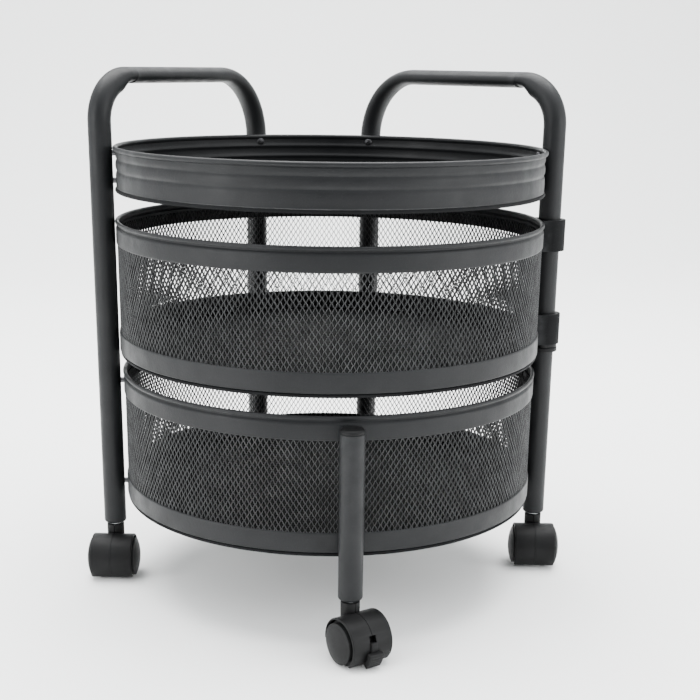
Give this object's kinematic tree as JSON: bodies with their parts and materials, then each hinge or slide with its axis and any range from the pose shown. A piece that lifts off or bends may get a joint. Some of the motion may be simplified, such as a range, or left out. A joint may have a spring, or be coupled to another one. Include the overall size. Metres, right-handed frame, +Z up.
{
  "type": "rolling utility cart",
  "caption": "Round rolling storage cart: solid top tray, mesh basket that swings out about a post, fixed mesh basket below, bent-tube handles and twin-wheel casters.",
  "frame": {"origin": "centre of the footprint's bounding box, on the floor under the wheels", "axes": "+Z up; +X towards the post that the middle basket swings about; -Y towards the short front leg"},
  "size_m": [0.4902, 0.481, 0.4999],
  "materials": {
    "powder_coat": "fine satin powder coat, charcoal grey",
    "mesh_coat": "powder-coated expanded metal, charcoal grey",
    "caster_plastic": "black moulded nylon, lightly textured",
    "wheel_plastic": "black moulded wheel",
    "bush_plastic": "black plastic",
    "bright_steel": "zinc-plated steel",
    "dark_screw": "blackened steel"
  },
  "bodies": {
    "frame": {"back_left_caster_stem": "bright_steel", "back_left_post": "powder_coat", "back_right_caster_stem": "bright_steel", "back_right_post": "powder_coat", "bottom_basket_lower_band": "powder_coat", "bottom_basket_mesh_wall": "mesh_coat", "bottom_basket_pan": "powder_coat", "bottom_basket_stud_back_left": "dark_screw", "bottom_basket_stud_back_right": "dark_screw", "bottom_basket_stud_front": "dark_screw", "bottom_basket_stud_left": "dark_screw", "bottom_basket_stud_right": "dark_screw", "bottom_basket_upper_band": "powder_coat", "front_caster_stem": "bright_steel", "front_leg": "powder_coat", "front_leg_cap": "bush_plastic", "front_leg_lower_stud": "dark_screw", "left_caster_stem": "bright_steel", "left_handle_joiner": "bright_steel", "left_post": "powder_coat", "right_caster_stem": "bright_steel", "right_handle_joiner": "bright_steel", "right_post": "powder_coat", "swing_stop_collar": "bush_plastic", "tray_pan": "powder_coat", "tray_stud_back_left": "dark_screw", "tray_stud_back_right": "dark_screw", "tray_stud_left": "dark_screw", "tray_stud_right": "dark_screw", "tray_wall": "powder_coat"},
    "swing_basket": {"lower_hinge_bush": "bush_plastic", "lower_hinge_strap": "powder_coat", "swing_basket_lower_band": "powder_coat", "swing_basket_mesh_wall": "mesh_coat", "swing_basket_pan": "powder_coat", "swing_basket_upper_band": "powder_coat", "upper_hinge_bush": "bush_plastic", "upper_hinge_strap": "powder_coat"},
    "left_caster": {"left_caster_hood": "caster_plastic", "left_caster_axle": "bright_steel"},
    "left_wheel_outer": {"left_caster_wheel_outer": "wheel_plastic"},
    "left_wheel_inner": {"left_caster_wheel_inner": "wheel_plastic"},
    "right_caster": {"right_caster_hood": "caster_plastic", "right_caster_axle": "bright_steel"},
    "right_wheel_outer": {"right_caster_wheel_outer": "wheel_plastic"},
    "right_wheel_inner": {"right_caster_wheel_inner": "wheel_plastic"},
    "back_left_caster": {"back_left_caster_hood": "caster_plastic", "back_left_caster_axle": "bright_steel"},
    "back_left_wheel_outer": {"back_left_caster_wheel_outer": "wheel_plastic"},
    "back_left_wheel_inner": {"back_left_caster_wheel_inner": "wheel_plastic"},
    "back_right_caster": {"back_right_caster_hood": "caster_plastic", "back_right_caster_axle": "bright_steel"},
    "back_right_wheel_outer": {"back_right_caster_wheel_outer": "wheel_plastic"},
    "back_right_wheel_inner": {"back_right_caster_wheel_inner": "wheel_plastic"},
    "front_caster": {"front_caster_hood": "caster_plastic", "front_caster_axle": "bright_steel"},
    "front_wheel_outer": {"front_caster_wheel_outer": "wheel_plastic"},
    "front_wheel_inner": {"front_caster_wheel_inner": "wheel_plastic"},
    "brake_lever": {"front_brake_lever": "caster_plastic"}
  },
  "joints": [
    {"name": "swing_hinge", "type": "hinge", "parent": "frame", "child": "swing_basket", "pos_m": [0.22001, 0.02029, 0.2969], "axis": [0, 0, 1], "range_deg": [0, 180]},
    {"name": "left_swivel", "type": "hinge", "parent": "frame", "child": "left_caster", "pos_m": [-0.21659, 0.02029, 0.0539], "axis": [0, 0, 1], "continuous": true},
    {"name": "left_roll_outer", "type": "hinge", "parent": "left_caster", "child": "left_wheel_outer", "pos_m": [-0.2183, 0.00639, 0.0208], "axis": [0.9925, -0.1219, 0], "continuous": true},
    {"name": "left_roll_inner", "type": "hinge", "parent": "left_caster", "child": "left_wheel_inner", "pos_m": [-0.2183, 0.00639, 0.0208], "axis": [0.9925, -0.1219, 0], "continuous": true},
    {"name": "right_swivel", "type": "hinge", "parent": "frame", "child": "right_caster", "pos_m": [0.22001, 0.02029, 0.0539], "axis": [0, 0, 1], "continuous": true},
    {"name": "right_roll_outer", "type": "hinge", "parent": "right_caster", "child": "right_wheel_outer", "pos_m": [0.2183, 0.00639, 0.0208], "axis": [0.9925, -0.1219, 0], "continuous": true},
    {"name": "right_roll_inner", "type": "hinge", "parent": "right_caster", "child": "right_wheel_inner", "pos_m": [0.2183, 0.00639, 0.0208], "axis": [0.9925, -0.1219, 0], "continuous": true},
    {"name": "back_left_swivel", "type": "hinge", "parent": "frame", "child": "back_left_caster", "pos_m": [-0.06212, 0.22905, 0.0539], "axis": [0, 0, 1], "continuous": true},
    {"name": "back_left_roll_outer", "type": "hinge", "parent": "back_left_caster", "child": "back_left_wheel_outer", "pos_m": [-0.06383, 0.21515, 0.0208], "axis": [0.9925, -0.1219, 0], "continuous": true},
    {"name": "back_left_roll_inner", "type": "hinge", "parent": "back_left_caster", "child": "back_left_wheel_inner", "pos_m": [-0.06383, 0.21515, 0.0208], "axis": [0.9925, -0.1219, 0], "continuous": true},
    {"name": "back_right_swivel", "type": "hinge", "parent": "frame", "child": "back_right_caster", "pos_m": [0.06553, 0.22905, 0.0539], "axis": [0, 0, 1], "continuous": true},
    {"name": "back_right_roll_outer", "type": "hinge", "parent": "back_right_caster", "child": "back_right_wheel_outer", "pos_m": [0.06383, 0.21515, 0.0208], "axis": [0.9925, -0.1219, 0], "continuous": true},
    {"name": "back_right_roll_inner", "type": "hinge", "parent": "back_right_caster", "child": "back_right_wheel_inner", "pos_m": [0.06383, 0.21515, 0.0208], "axis": [0.9925, -0.1219, 0], "continuous": true},
    {"name": "front_swivel", "type": "hinge", "parent": "frame", "child": "front_caster", "pos_m": [0.00171, -0.19801, 0.0539], "axis": [0, 0, 1], "continuous": true},
    {"name": "front_roll_outer", "type": "hinge", "parent": "front_caster", "child": "front_wheel_outer", "pos_m": [0.00828, -0.21038, 0.0208], "axis": [0.8829, 0.4695, 0], "continuous": true},
    {"name": "front_roll_inner", "type": "hinge", "parent": "front_caster", "child": "front_wheel_inner", "pos_m": [0.00828, -0.21038, 0.0208], "axis": [0.8829, 0.4695, 0], "continuous": true},
    {"name": "brake_lever_hinge", "type": "hinge", "parent": "front_caster", "child": "brake_lever", "pos_m": [0.00828, -0.21038, 0.0208], "axis": [-0.8829, -0.4695, 0], "range_deg": [0, 14]}
  ]
}
